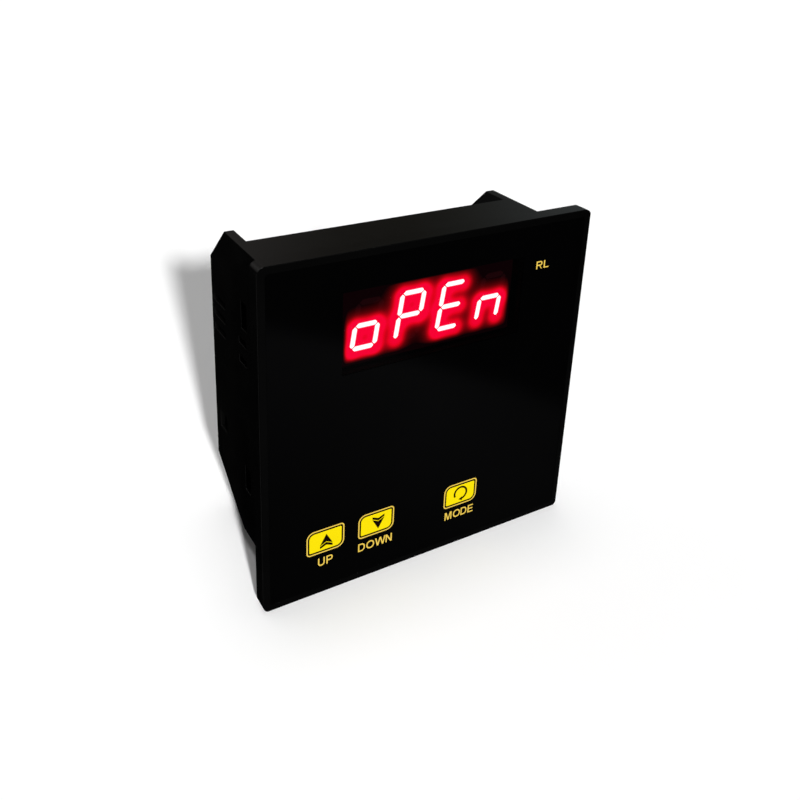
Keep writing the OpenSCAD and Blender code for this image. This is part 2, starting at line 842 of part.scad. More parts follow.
// Upper terminal block: wire entries open upwards, screw wells open to the back, seams from pole to pole
module terminal_block() {
    color([0.12, 0.12, 0.13]) difference() {
        along_x(-block_w / 2, block_w / 2) block_section(0);
        for (i = [1:pole_count - 1]) {
            x = pole_xs[i] - pole_pitch / 2;
            along_x(x - seam_w / 2, x + seam_w / 2) difference() {
                translate([entry_y, block_z - overcut]) square([block_t + overcut, block_h + 2 * overcut]);
                block_section(seam_depth);
            }
        }
        for (x = pole_xs) {
            translate([x - entry_size / 2, entry_y, entry_floor_z])
                cube([entry_size, entry_size, entry_depth + overcut]);
            bar_at(x, screw_z, well_d, well_floor_y, block_back_y + overcut);
            bar_at(x, screw_z, terminal_screw_d + 2 * screw_slip,
                entry_y + entry_size / 2, well_floor_y + overcut);
        }
    }
}

module terminal_screws() {
    tip_y = entry_y + clamp_slip + clamp_t + part_slip;
    head_y = well_floor_y + rest_gap;
    color([0.75, 0.75, 0.77]) for (x = pole_xs) {
        translate([x, head_y, screw_z]) rotate([-90, 0, 0])
            screw(terminal_screw_d, head_y - tip_y, terminal_head_d, terminal_head_h);
    }
}

// Metal strip in each wire entry, facing the tip of the screw
module wire_clamps() {
    strip_w = entry_size - 2 * clamp_slip;
    color([0.8, 0.7, 0.4]) for (x = pole_xs) {
        translate([x - strip_w / 2, entry_y + clamp_slip, entry_floor_z])
            cube([strip_w, clamp_t, entry_depth - clamp_set_down]);
    }
}

module terminal_block_top() { terminal_block(); }
module terminal_block_bottom() { mirror([0, 0, 1]) terminal_block(); }
module terminal_screws_top() { terminal_screws(); }
module terminal_screws_bottom() { mirror([0, 0, 1]) terminal_screws(); }
module wire_clamps_top() { wire_clamps(); }
module wire_clamps_bottom() { mirror([0, 0, 1]) wire_clamps(); }

// Outline of a side cheek in Y and Z, with sloped rear corners
module cheek_outline() {
    top_z = case_h / 2;
    lower_corner_z = -shelf_z - lower_corner_drop;
    polygon([
        [wall_back_y, top_z],
        [case_depth - upper_slope_run, top_z],
        [case_depth, top_z - upper_slope_drop],
        [case_depth, lower_corner_z],
        [case_depth - lower_slope_run, lower_corner_z - lower_slope_rise],
        [panel_depth, -top_z],
        [wall_back_y, -top_z]
    ]);
}

// Grooves, pocket and hook windows of the right cheek
module cheek_cuts() {
    cut_t = groove_depth + overcut;
    pocket_y = rear_groove_y + (rear_groove_l - pocket_size) / 2;
    translate([case_w / 2 - groove_depth, 0, -groove_h / 2]) {
        for (i = [0:2]) {
            translate([0, rear_groove_y, rear_groove_z + i * rear_groove_pitch])
                cube([cut_t, rear_groove_l, groove_h]);
        }
        for (i = [0:1]) {
            translate([0, front_groove_y, front_groove_z + i * front_groove_pitch])
                cube([cut_t, front_groove_l, groove_h]);
        }
    }
    translate([case_w / 2 - groove_depth, pocket_y, -pocket_drop - pocket_size / 2])
        cube([cut_t, pocket_size, pocket_size]);
    for (level = [-1, 1]) {
        translate([case_in_w / 2 - overcut, hook_y - part_slip, level * arm_z - arm_w / 2 - part_slip])
            cube([cheek_t + 2 * overcut, hook_l + 2 * part_slip, arm_w + 2 * part_slip]);
    }
}

// Moulded case: mouth, panels, cheeks, steps, shelves and back in one piece
module case_body() {
    color([0.06, 0.06, 0.065]) difference() {
        union() {
            difference() {
                along_y(wall_back_y, panel_depth) square([case_w, case_h], center = true);
                along_y(wall_back_y - overcut, step_front_y)
                    square([case_in_w, case_in_h], center = true);
                along_y(step_front_y - overcut, panel_depth + overcut)
                    square([case_in_w, rear_box_h - 2 * inner_wall_t], center = true);
            }
            difference() {
                along_y(step_front_y, case_depth) square([case_in_w, rear_box_h], center = true);
                along_y(step_front_y - overcut, case_depth - inner_wall_t)
                    square([case_in_w, rear_box_h - 2 * inner_wall_t], center = true);
            }
            along_x(-case_w / 2, -case_in_w / 2) cheek_outline();
            along_x(case_in_w / 2, case_w / 2) cheek_outline();
            for (spot = main_screw_spots) {
                bar_at(spot.x, spot.y, post_d, step_front_y, case_depth - inner_wall_t);
            }
        }
        for (level = [0, 1]) {
            mirror([0, 0, level]) translate([-block_w / 2 - part_slip, step_front_y - overcut, shelf_z])
                cube([block_w + 2 * part_slip, inner_wall_t + 2 * overcut, block_h + 2 * part_slip]);
        }
        for (spot = main_screw_spots) {
            bar_at(spot.x, spot.y, main_screw_d + 2 * screw_slip, step_front_y - overcut,
                step_front_y + main_screw_l - board_t + part_slip);
        }
        cheek_cuts();
        mirror([1, 0, 0]) cheek_cuts();
    }
}

front_bezel();
front_film();
key_up();
key_down();
key_mode();
plunger_up();
plunger_down();
plunger_mode();
switch_up();
switch_down();
switch_mode();
led_digit_1();
led_digit_2();
led_digit_3();
led_digit_4();
digit_bars_1();
digit_bars_2();
digit_bars_3();
digit_bars_4();
relay_lamp();
display_board();
display_board_screws();
microcontroller();
connector_pins();
connector_socket();
main_board();
main_board_screws();
transformer_core();
transformer_bobbin();
transformer_coil();
relay();
filter_capacitor();
output_capacitor();
voltage_regulator();
bridge_rectifier();
terminal_block_top();
terminal_block_bottom();
terminal_screws_top();
terminal_screws_bottom();
wire_clamps_top();
wire_clamps_bottom();
case_body();
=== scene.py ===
"""Looks of a panel-mount temperature controller, built piece by piece around its solids."""
import math

import bmesh
import bpy
from mathutils import Matrix, Vector


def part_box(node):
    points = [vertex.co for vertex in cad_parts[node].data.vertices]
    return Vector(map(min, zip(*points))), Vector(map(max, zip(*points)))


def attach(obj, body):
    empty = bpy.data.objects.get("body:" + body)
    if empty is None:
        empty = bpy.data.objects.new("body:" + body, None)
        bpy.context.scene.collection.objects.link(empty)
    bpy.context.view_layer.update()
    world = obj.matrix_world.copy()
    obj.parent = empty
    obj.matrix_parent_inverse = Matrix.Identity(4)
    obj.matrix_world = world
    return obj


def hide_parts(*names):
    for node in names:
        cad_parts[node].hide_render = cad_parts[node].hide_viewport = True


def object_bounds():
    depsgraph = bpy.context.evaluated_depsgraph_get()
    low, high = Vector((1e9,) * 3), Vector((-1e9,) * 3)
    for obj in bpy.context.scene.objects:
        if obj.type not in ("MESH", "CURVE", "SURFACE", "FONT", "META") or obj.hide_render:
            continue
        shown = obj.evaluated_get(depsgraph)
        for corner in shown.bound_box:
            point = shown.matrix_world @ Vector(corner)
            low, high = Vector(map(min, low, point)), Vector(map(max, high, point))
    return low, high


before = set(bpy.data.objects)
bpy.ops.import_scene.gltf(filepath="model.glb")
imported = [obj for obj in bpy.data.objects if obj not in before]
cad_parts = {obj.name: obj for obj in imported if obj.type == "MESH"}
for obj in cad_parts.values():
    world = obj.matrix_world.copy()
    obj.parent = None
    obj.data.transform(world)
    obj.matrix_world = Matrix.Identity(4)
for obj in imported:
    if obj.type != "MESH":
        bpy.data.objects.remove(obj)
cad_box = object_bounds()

# Case: one black moulded shell with a cheek on each side, a short panel above and below, and a
# closed box behind. The mould is spark-eroded, so the skin has a fine satin grain, and the tool
# leaves every outer edge slightly round.
MM = 0.001
WELD_GAP = 0.002 * MM
FLAT_TURN = math.radians(0.6)
SHARP_TURN = math.radians(40)
CASE_EDGE = 0.28 * MM
EDGE_STEPS = 2
GRAIN_RELIEF = 0.35
SATIN = (0.2, 0.27)
SATIN_DEPTH = 0.008


def merged_copy(node):
    """A copy of a solid's mesh, with its loose triangles joined into whole faces."""
    mesh = bmesh.new()
    mesh.from_mesh(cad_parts[node].data)
    bmesh.ops.remove_doubles(mesh, verts=mesh.verts, dist=WELD_GAP)
    bmesh.ops.dissolve_limit(mesh, angle_limit=FLAT_TURN, verts=mesh.verts, edges=mesh.edges)
    return mesh


def round_off(mesh, geometry, radius, steps, kind="EDGES", apart=False):
    """Round off some edges or corners, and keep the roundings apart where asked."""
    bmesh.ops.bevel(mesh, geom=geometry, offset=radius, affect=kind, segments=steps, profile=0.5,
                    material=-1, clamp_overlap=apart)


def ease_edges(mesh, radius):
    """Round off every edge that turns sharply."""
    sharp = [edge for edge in mesh.edges
             if edge.is_manifold and edge.calc_face_angle() > SHARP_TURN]
    round_off(mesh, sharp, radius, EDGE_STEPS, apart=True)


def as_object(name, mesh):
    """Put a finished mesh into the scene as it stands."""
    data = bpy.data.meshes.new(name)
    mesh.to_mesh(data)
    mesh.free()
    made = bpy.data.objects.new(name, data)
    bpy.context.scene.collection.objects.link(made)
    return made


def set_up(name, mesh, finishes, body, stands_for=None):
    """Make a finished mesh a piece of the part that rides on its body."""
    piece = as_object(name, mesh)
    piece.data.shade_smooth()
    piece.data.set_sharp_from_angle(angle=SHARP_TURN)
    for finish in finishes:
        piece.data.materials.append(finish)
    weigh = piece.modifiers.new("even_shading", "WEIGHTED_NORMAL")
    weigh.keep_sharp = True
    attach(piece, body)
    if stands_for:
        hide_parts(stands_for)


def fill(tree, node, sockets):
    """Set a shader node's inputs, or join them to the outputs of other nodes."""
    for name, value in sockets.items():
        if isinstance(value, bpy.types.NodeSocket):
            tree.links.new(value, node.inputs[name])
        else:
            node.inputs[name].default_value = value


def add(tree, kind, sockets=None, **settings):
    """Add one shader node with its settings, and fill its inputs."""
    node = tree.nodes.new("ShaderNode" + kind)
    for name, value in settings.items():
        setattr(node, name, value)
    fill(tree, node, sockets or {})
    return node


def ramp(tree, value, *stops):
    """Colours along a value, each stop being a place and a colour."""
    node = add(tree, "ValToRGB", {"Fac": value})
    elements = node.color_ramp.elements
    while len(elements) < len(stops):
        elements.new(1.0)
    for element, (place, colour) in zip(elements, stops):
        element.position = place
        element.color = (*colour, 1)
    return node.outputs["Color"]


def spread(tree, value, low, high, start=0.0, end=1.0, curve="LINEAR"):
    """Map a value from start and end to low and high."""
    sockets = {"Value": value, "From Min": start, "From Max": end, "To Min": low, "To Max": high}
    return add(tree, "MapRange", sockets, interpolation_type=curve).outputs["Result"]


def raised(tree, height, strength, depth):
    """The normals of a surface with a fine relief, its depth in millimetres."""
    sockets = {"Height": height, "Strength": strength, "Distance": depth * MM}
    return add(tree, "Bump", sockets).outputs["Normal"]


def new_group(name, inputs, outputs):
    """An empty shader node group with its sockets, given as name and type."""
    tree = bpy.data.node_groups.new(name, "ShaderNodeTree")
    for direction, sockets in (("INPUT", inputs), ("OUTPUT", outputs)):
        for socket, kind in sockets:
            tree.interface.new_socket(socket, in_out=direction, socket_type="NodeSocket" + kind)
    return tree, tree.nodes.new("NodeGroupInput").outputs, tree.nodes.new("NodeGroupOutput").inputs


def new_finish(name):
    """A material with one Principled shader, and the place on the piece."""
    material = bpy.data.materials.new(name)
    material.use_nodes = True
    tree = material.node_tree
    tree.nodes.clear()
    shader = add(tree, "BsdfPrincipled")
    add(tree, "OutputMaterial", {"Surface": shader.outputs["BSDF"]})
    return material, tree, shader, add(tree, "TexCoord").outputs["Object"]


# Shared skin of most surfaces: a fine grain and slow clouds of gloss
skin_group, skin_in, skin_out = new_group(
    "moulded_skin",
    (("Place", "Vector"), ("Grain Scale", "Float"), ("Cloud Scale", "Float")),
    (("Grain", "Float"), ("Cloud", "Float")))
for mark, detail, roughness in (("Grain", 3.0, 0.65), ("Cloud", 4.0, 0.6)):
    noise = add(skin_group, "TexNoise", {
        "Vector": skin_in["Place"], "Scale": skin_in[mark + " Scale"],
        "Detail": detail, "Roughness": roughness})
    skin_group.links.new(noise.outputs["Fac"], skin_out[mark])


def skin_on(tree, place, grain, cloud):
    """The shared skin at these scales, as its grain and its clouds."""
    sockets = {"Place": place, "Grain Scale": grain, "Cloud Scale": cloud}
    return add(tree, "Group", sockets, node_tree=skin_group).outputs


def clouded(tree, skin, gloss):
    """Roughness from gloss[0] to gloss[1], changing with the clouds of the skin."""
    return spread(tree, skin["Cloud"], *gloss, 0.3, 0.7)


def skinned(name, dark, light, gloss, scales, relief, stops=(0.35, 0.7), **constants):
    """A finish between two shades, with the skin's scales and its relief as strength and depth."""
    material, tree, shader, place = new_finish(name)
    skin = skin_on(tree, place, *scales)
    fill(tree, shader, {
        "Base Color": ramp(tree, skin["Cloud"], (stops[0], dark), (stops[1], light)),
        "Roughness": clouded(tree, skin, gloss),
        "Normal": raised(tree, skin["Grain"], *relief)})
    fill(tree, shader, {socket.replace("_", " "): value for socket, value in constants.items()})
    return material


def moulded(name, dark, light, gloss, grain=2600.0, cloud=70.0, depth=0.012, shine=0.5):
    """Moulded plastic between two shades, with the grain of its mould."""
    return skinned(name, dark, light, gloss, (grain, cloud), (GRAIN_RELIEF, depth),
                   Specular_IOR_Level=shine)


case_black = moulded("case_black", (0.0014, 0.0014, 0.0013), (0.0019, 0.0019, 0.0018), SATIN,
                     depth=SATIN_DEPTH)
case_shell = merged_copy("case_body")
ease_edges(case_shell, CASE_EDGE)
set_up("case_shell", case_shell, [case_black], "housing", "case_body")

# Circuit boards: a green main board on posts of the case and a black display board behind the
# front, both lacquered laminate with copper tracks under the lacquer. Round-headed screws hold
# them, and a row of pins joins them.
PLATING_SCALES = (900.0, 180.0)
PLATING_RELIEF = (0.2, 0.01)


def dress(finish, *names):
    """Give carried-over solids their material."""
    for name in names:
        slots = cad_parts[name].data.materials
        slots.clear()
        slots.append(finish)


def lacquered_board(name, plain, over_track):
    """Solder lacquer with tracks that show as paler lines."""
    material, tree, shader, place = new_finish(name)
    turned = add(tree, "Mapping", {"Vector": place, "Rotation": (math.radians(90), 0, 0)})
    tracks = add(tree, "TexBrick", {
        "Vector": turned.outputs["Vector"], "Scale": 300.0, "Mortar Size": 0.09,
        "Brick Width": 2.6, "Row Height": 0.6, "Color1": (0, 0, 0, 1),
        "Color2": (0.12, 0.12, 0.12, 1), "Mortar": (1, 1, 1, 1)},
        offset=0.37, squash=1.6, squash_frequency=3).outputs["Color"]
    fill(tree, shader, {
        "Base Color": ramp(tree, tracks, (0.0, plain), (1.0, over_track)),
        "Roughness": clouded(tree, skin_on(tree, place, 1500.0, 120.0), (0.22, 0.38)),
        "Normal": raised(tree, tracks, 0.4, 0.03)})
    return material


def worn_metal(name, dark, light, gloss):
    """Plated or drawn metal with small dull patches."""
    return skinned(name, dark, light, gloss, PLATING_SCALES, PLATING_RELIEF, (0.35, 0.65),
                   Metallic=1.0)


board_green = lacquered_board("board_green", (0.006, 0.05, 0.018), (0.02, 0.13, 0.045))
board_black = lacquered_board("board_black", (0.0012, 0.0012, 0.0012), (0.003, 0.003, 0.003))
screw_steel = worn_metal("screw_steel", (0.42, 0.41, 0.4), (0.62, 0.61, 0.59), (0.24, 0.4))
chip_black = moulded("chip_black", (0.012, 0.012, 0.013), (0.022, 0.022, 0.022), (0.5, 0.65),
                     grain=1800.0)
connector_black = moulded("connector_black", (0.01, 0.01, 0.01), (0.018, 0.018, 0.018), (0.4, 0.55))
dress(board_green, "main_board")
dress(board_black, "display_board")
dress(screw_steel, "main_board_screws", "display_board_screws")
dress(chip_black, "microcontroller", "voltage_regulator", "bridge_rectifier")
dress(connector_black, "connector_pins", "connector_socket")

# Transformer, relay and capacitors: a stack of core sheets round a nylon bobbin with a taped coil,
# a sealed relay box, and two cans in shrunk sleeves, all soldered to the main board.
BAND_RELIEF = 0.5


def banded(name, low, high, gloss, depth, waves, metal=0.0, **profile):
    """Stripes across a stack or a winding, between a low and a high place and colour."""
    material, tree, shader, place = new_finish(name)
    bands = add(tree, "TexWave", {"Vector": place, **waves}, **profile).outputs["Fac"]
    fill(tree, shader, {
        "Base Color": ramp(tree, bands, low, high),
        "Roughness": spread(tree, bands, *gloss),
        "Metallic": metal,
        "Normal": raised(tree, bands, BAND_RELIEF, depth)})
    return material


core_sheets = banded("core_sheets", (0.2, (0.16, 0.16, 0.17)), (0.8, (0.36, 0.36, 0.37)),
                     (0.6, 0.4), 0.05, {"Scale": 320.0, "Distortion": 0.4, "Detail": 1.0},
                     metal=1.0, bands_direction="Z")
coil_tape = banded("coil_tape", (0.0, (0.5, 0.33, 0.03)), (1.0, (0.66, 0.46, 0.06)),
                   (0.25, 0.4), 0.06, {"Scale": 90.0, "Distortion": 0.6, "Detail": 2.0},
                   bands_direction="Y", wave_profile="SAW")
bobbin_nylon = moulded("bobbin_nylon", (0.5, 0.47, 0.4), (0.62, 0.58, 0.5), (0.35, 0.5))
relay_blue = moulded("relay_blue", (0.012, 0.05, 0.16), (0.02, 0.075, 0.22), (0.3, 0.42))
can_sleeve = moulded("capacitor_sleeve", (0.012, 0.014, 0.03), (0.02, 0.024, 0.05), (0.22, 0.34),
                     grain=700.0)
dress(core_sheets, "transformer_core")
dress(bobbin_nylon, "transformer_bobbin")
dress(coil_tape, "transformer_coil")
dress(relay_blue, "relay")
dress(can_sleeve, "filter_capacitor", "output_capacitor")

# Terminals: two black moulded blocks of eight poles in the recesses behind the panels. Each pole
# has a brass clamp and a plated slotted screw at the bottom of a round well.
BLOCK_EDGE = 0.15 * MM
SCREW_EDGE = 0.08 * MM
terminal_black = moulded("terminal_black", (0.014, 0.014, 0.015), (0.024, 0.024, 0.024),
                         (0.42, 0.56))
clamp_brass = worn_metal("clamp_brass", (0.5, 0.34, 0.12), (0.7, 0.5, 0.2), (0.28, 0.46))
for row in ("top", "bottom"):
    block = merged_copy("terminal_block_" + row)
    ease_edges(block, BLOCK_EDGE)
    set_up("terminals_" + row, block, [terminal_black], "housing",
           "terminal_block_" + row)
    screws = merged_copy("terminal_screws_" + row)
    ease_edges(screws, SCREW_EDGE)
    set_up("clamp_screws_" + row, screws, [screw_steel], "housing",
           "terminal_screws_" + row)
    dress(clamp_brass, "wire_clamps_" + row)

# Key switches: three square push switches soldered on the display board, each with a round black
# plunger that meets the stem of its key.
switch_grey = moulded("switch_grey", (0.018, 0.018, 0.019), (0.03, 0.03, 0.03), (0.35, 0.5))
for key in ("up", "down", "mode"):
    dress(switch_grey, "switch_" + key, "plunger_" + key)

# Digits: four black seven-bar modules side by side on the display board, with red diffusing bars
# flush in their faces. Lit bars burn out to white, and their light on the face round them is
# painted on it as a crimson glow. The faces are drawn out at both ends of the row and below it,
# so that the painted glow fades on them.
SHOWN = "oPEn"
BARS_OF = {"o": "cdeg", "P": "abefg", "E": "adefg", "n": "ceg"}
ROUND_POINT = 2.0 * MM
MIDDLE_BAND = 2.0 * MM
BAR_EDGE = 0.28 * MM
BAR_STEPS = 3
BAR_TURN = math.radians(25)
BAR_TIP = 0.45 * MM
BAR_LIGHT = 4.2
CORE_WHITE = 0.4 * MM
CORE_EDGE = 0.74 * MM
GLOW_REACH = 2.3 * MM
GLOW_FALL = 4.5
GLOW_DROP = Vector((0, 0, 0.45 * MM))
GLOW_CAP = 1.15
# Painted glow of lit bars on the faces: where it starts, where it is full, and its strength
PAINTED_GLOW_START = 0.03
PAINTED_GLOW_FULL = 1.1
PAINTED_GLOW_STRENGTH = 3.1
END_MARGIN = 0.55 * MM
LOW_MARGIN = 0.85 * MM
SIDE_FADE = 1.6 * MM
TOP_FADE = 0.6 * MM
LOW_FADE = 2.2 * MM
ON_EDGE = 0.01 * MM


def vector_step(tree, operation, first, second=None, scale=None):
    """The outputs of one step of reckoning with vectors in a shader tree."""
    sockets = {0: first}
    if second is not None:
        sockets[1] = second
    if scale is not None:
        sockets["Scale"] = scale
    return add(tree, "VectorMath", sockets, operation=operation).outputs


def number_step(tree, operation, first, second=0.0, clamped=False):
    """The result of one step of reckoning with numbers in a shader tree."""
    sockets = {0: first, 1: second}
    return add(tree, "Math", sockets, operation=operation, use_clamp=clamped).outputs["Value"]


# Shared light of one bar: the distance to its middle line, and a glow that falls off with it
bar_light, bar_in, bar_out = new_group(
    "bar_light", (("Place", "Vector"), ("Start", "Vector"), ("End", "Vector")),
    (("Distance", "Float"), ("Glow", "Float")))
on_face = vector_step(bar_light, "MULTIPLY", bar_in["Place"], (1, 0, 1))["Vector"]
from_start = vector_step(bar_light, "SUBTRACT", on_face, bar_in["Start"])["Vector"]
along = vector_step(bar_light, "SUBTRACT", bar_in["End"], bar_in["Start"])["Vector"]
passed = vector_step(bar_light, "DOT_PRODUCT", from_start, along)["Value"]
whole = vector_step(bar_light, "DOT_PRODUCT", along, along)["Value"]
share = number_step(bar_light, "DIVIDE", passed, whole, clamped=True)
foot = vector_step(bar_light, "SCALE", along, scale=share)["Vector"]
gap = vector_step(bar_light, "SUBTRACT", from_start, foot)["Vector"]
distance = vector_step(bar_light, "LENGTH", gap)["Value"]
in_reaches = number_step(bar_light, "DIVIDE", distance, GLOW_REACH)
fall = number_step(bar_light, "POWER", in_reaches, GLOW_FALL)
glow = number_step(bar_light, "DIVIDE", 1.0, number_step(bar_light, "ADD", fall, 1.0))
bar_light.links.new(distance, bar_out["Distance"])
bar_light.links.new(glow, bar_out["Glow"])


def islands(mesh):
    """The separate solids of a mesh, each as a list of faces."""
    seen = set()
    for first in mesh.faces:
        if first in seen:
            continue
        seen.add(first)
        found = [first]
        for face in found:
            for edge in face.edges:
                for other in edge.link_faces:
                    if other not in seen:
                        seen.add(other)
                        found.append(other)
        yield found


def bar_line(faces):
    """The two tips of a bar, on the plane of the face."""
    spots = [Vector((vert.co.x, 0, vert.co.z)) for face in faces for vert in face.verts]
    start = max(spots, key=lambda spot: (spot - spots[0]).length)
    return start, max(spots, key=lambda spot: (spot - start).length)


def bar_letter(start, end, centre):
    """The usual letter of a bar, a at the top and g in the middle, or a dot for the point."""
    middle = (start + end) / 2 - centre
    if (end - start).length < ROUND_POINT:
        return "."
    if abs(end.x - start.x) > abs(end.z - start.z):
        return "g" if abs(middle.z) < MIDDLE_BAND else ("a" if middle.z > 0 else "d")
    if middle.x < 0:
        return "f" if middle.z > 0 else "e"
    return "b" if middle.z > 0 else "c"


lit_lines = []
bar_meshes = []
for place_in_row, letter in enumerate(SHOWN, 1):
    low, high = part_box(f"led_digit_{place_in_row}")
    bar_mesh = merged_copy(f"digit_bars_{place_in_row}")
    for bar_faces in islands(bar_mesh):
        start, end = bar_line(bar_faces)
        if bar_letter(start, end, (low + high) / 2) in BARS_OF[letter]:
            tip = (end - start).normalized() * BAR_TIP
            lit_lines.append((start + tip, end - tip))
        else:
            for face in bar_faces:
                face.material_index = 1
    upright = [edge for edge in bar_mesh.edges if edge.calc_face_angle() > BAR_TURN
               and abs(edge.verts[0].co.y - edge.verts[1].co.y) > BAR_EDGE]
    round_off(bar_mesh, upright, BAR_EDGE, BAR_STEPS)
    bar_meshes.append(bar_mesh)

# Shared light of the whole readout: the glow of all lit bars, and the distance to the nearest one
readout_light, readout_in, readout_out = new_group(
    "readout_light", (("Place", "Vector"),), (("Distance", "Float"), ("Glow", "Float")))
nearest, total = 1.0, 0.0
for start, end in lit_lines:
    line = {"Place": readout_in["Place"], "Start": start, "End": end}
    one_bar = add(readout_light, "Group", line, node_tree=bar_light).outputs
    nearest = number_step(readout_light, "MINIMUM", one_bar["Distance"], nearest)
    total = number_step(readout_light, "ADD", one_bar["Glow"], total)
readout_light.links.new(nearest, readout_out["Distance"])
readout_light.links.new(total, readout_out["Glow"])

row_low, row_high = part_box("led_digit_1")[0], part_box("led_digit_4")[1]
row_middle = (row_low + row_high) / 2
face_low = row_low - Vector((END_MARGIN, 0, LOW_MARGIN))
face_high = row_high + Vector((END_MARGIN, 0, 0))
FADES = (("X", face_low.x, face_low.x + SIDE_FADE), ("X", face_high.x, face_high.x - SIDE_FADE),
         ("Z", face_low.z, face_low.z + LOW_FADE), ("Z", face_high.z, face_high.z - TOP_FADE))


def painted_glow_finish(name, base, painted_glimmer):
    """Dark plastic with lit bars' light painted on as crimson glow, and a faint painted glimmer."""
    material, tree, shader, place = new_finish(name)
    lower = vector_step(tree, "ADD", place, GLOW_DROP)["Vector"]
    light = add(tree, "Group", {"Place": lower}, node_tree=readout_light).outputs["Glow"]
    caught = number_step(tree, "MINIMUM", light, GLOW_CAP)
    spot = add(tree, "SeparateXYZ", {"Vector": place}).outputs
    for axis, edge, inner in FADES:
        fade = spread(tree, spot[axis], 0, 1, edge, inner, "SMOOTHSTEP")
        caught = number_step(tree, "MULTIPLY", caught, fade)
    # The light of lit bars, painted on the face as a crimson glow
    painted_glow_level = spread(tree, caught, 0, 1, PAINTED_GLOW_START, PAINTED_GLOW_FULL)
    # Even where no bar light falls, a faint red glimmer is painted on as emission
    painted_glow_colour = ramp(tree, painted_glow_level, (0.0, painted_glimmer), (0.15, (0.12, 0.0004, 0.002)),
                   (0.4, (0.45, 0.0003, 0.006)), (0.65, (0.82, 0.0003, 0.012)),
                   (1.0, (1.0, 0.0004, 0.036)))
    fill(tree, shader, {
        "Base Color": (*base, 1), "Specular IOR Level": 0.1,
        "Roughness": spread(tree, painted_glow_level, 0.5, 0.6),
        "Emission Color": painted_glow_colour, "Emission Strength": PAINTED_GLOW_STRENGTH})
    return material


lit_bar, lit_tree, lit_shader, lit_place = new_finish("lit_bar")
lit_light = add(lit_tree, "Group", {"Place": lit_place}, node_tree=readout_light).outputs
heat = spread(lit_tree, lit_light["Distance"], 1, 0, CORE_WHITE, CORE_EDGE, "SMOOTHSTEP")
fill(lit_tree, lit_shader, {
    "Base Color": (0.2, 0.01, 0.015, 1), "Roughness": 0.4,
    "Emission Color": ramp(lit_tree, heat, (0.0, (1.0, 0.06, 0.16)), (0.7, (1, 1, 1))),
    "Emission Strength": BAR_LIGHT})
# Module faces and unlit bars: their last colour is a faint red glimmer, painted on as emission
module_black = painted_glow_finish("module_black", (0.0012, 0.001, 0.001), (0.003, 0.0001, 0.0006))
unlit_bar = painted_glow_finish("unlit_bar", (0.02, 0.003, 0.004), (0.007, 0.0007, 0.0014))
for place_in_row, bar_mesh in enumerate(bar_meshes, 1):
    module = merged_copy(f"led_digit_{place_in_row}")
    for axis, edge, move in ((0, row_low.x, (-END_MARGIN, 0, 0)),
                             (0, row_high.x, (END_MARGIN, 0, 0)),
                             (2, row_low.z, (0, 0, -LOW_MARGIN))):
        outer_side = [vert for vert in module.verts if abs(vert.co[axis] - edge) < ON_EDGE]
        bmesh.ops.translate(module, verts=outer_side, vec=move)
    set_up(f"digit_module_{place_in_row}", module, [module_black], "housing",
           f"led_digit_{place_in_row}")
    set_up(f"light_bars_{place_in_row}", bar_mesh, [lit_bar, unlit_bar], "housing",
           f"digit_bars_{place_in_row}")

# Relay lamp: a small dome of clear red plastic, moulded in one and standing on the display board
# behind its mark on the sheet. It is dark while the relay is off.
lamp_red, lamp_tree, lamp_shader, lamp_place = new_finish("lamp_red")
lamp_skin = skin_on(lamp_tree, lamp_place, 700.0, 250.0)
fill(lamp_tree, lamp_shader, {
    "Base Color": ramp(lamp_tree, lamp_skin["Cloud"],
                       (0.3, (0.25, 0.006, 0.008)), (0.7, (0.36, 0.012, 0.012))),
    "Roughness": clouded(lamp_tree, lamp_skin, (0.12, 0.22))})
set_up("lamp_dome", merged_copy("relay_lamp"), [lamp_red], "housing", "relay_lamp")

# Bezel: a square black frame, moulded a shade darker than the case and snapped into it, with
# sloped front edges and a shallow tray that the printed sheet lies in. The opening over the digits
# is matt inside.
BEZEL_EDGE = 0.16 * MM
WINDOW_W = 53.2 * MM
WINDOW_H = 22.0 * MM
WINDOW_LIP = 4 * BEZEL_EDGE
bezel_black = moulded("bezel_black", (0.0008, 0.0008, 0.0008), (0.0011, 0.0011, 0.0011), SATIN,
                      depth=SATIN_DEPTH)
window_matt = moulded("window_matt", (0.0006, 0.0006, 0.0006), (0.001, 0.001, 0.001), (0.85, 0.95),
                      shine=0.05)


def past_window(spot):
    """How far a place lies outside the window, below nought for a place inside it."""
    return max(abs(spot.x) - WINDOW_W / 2, abs(spot.z - row_middle.z) - WINDOW_H / 2)


bezel = merged_copy("front_bezel")
ease_edges(bezel, BEZEL_EDGE)
sheet_front, sheet_back = (corner.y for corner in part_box("front_film"))
for face in bezel.faces:
    middle = face.calc_center_median()
    if past_window(middle) < WINDOW_LIP and middle.y > sheet_back - BEZEL_EDGE:
        face.material_index = 1
set_up("front_frame", bezel, [bezel_black, window_matt], "housing", "front_bezel")

# Front sheet: polyester film printed black on its back, glossy, with a smoked window left clear in
# the print over the digits. The three keys come through close-cut holes.
SMOKE = 0.45
CUT_GAP = 0.001 * MM


def printed_film(name, cover):
    """Glossy film with faint handling marks, over black ink that covers all or a share of it."""
    return skinned(name, (0.0003, 0.0003, 0.00033), (0.0005, 0.0005, 0.00054), (0.04, 0.07),
                   (420.0, 26.0), (0.02, 0.004), Alpha=cover)


def cut(mesh, at, normal, gap, **options):
    """Cut the faces of a mesh along a plane."""
    geometry = mesh.verts[:] + mesh.edges[:] + mesh.faces[:]
    bmesh.ops.bisect_plane(mesh, geom=geometry, plane_co=at, plane_no=normal, dist=gap, **options)


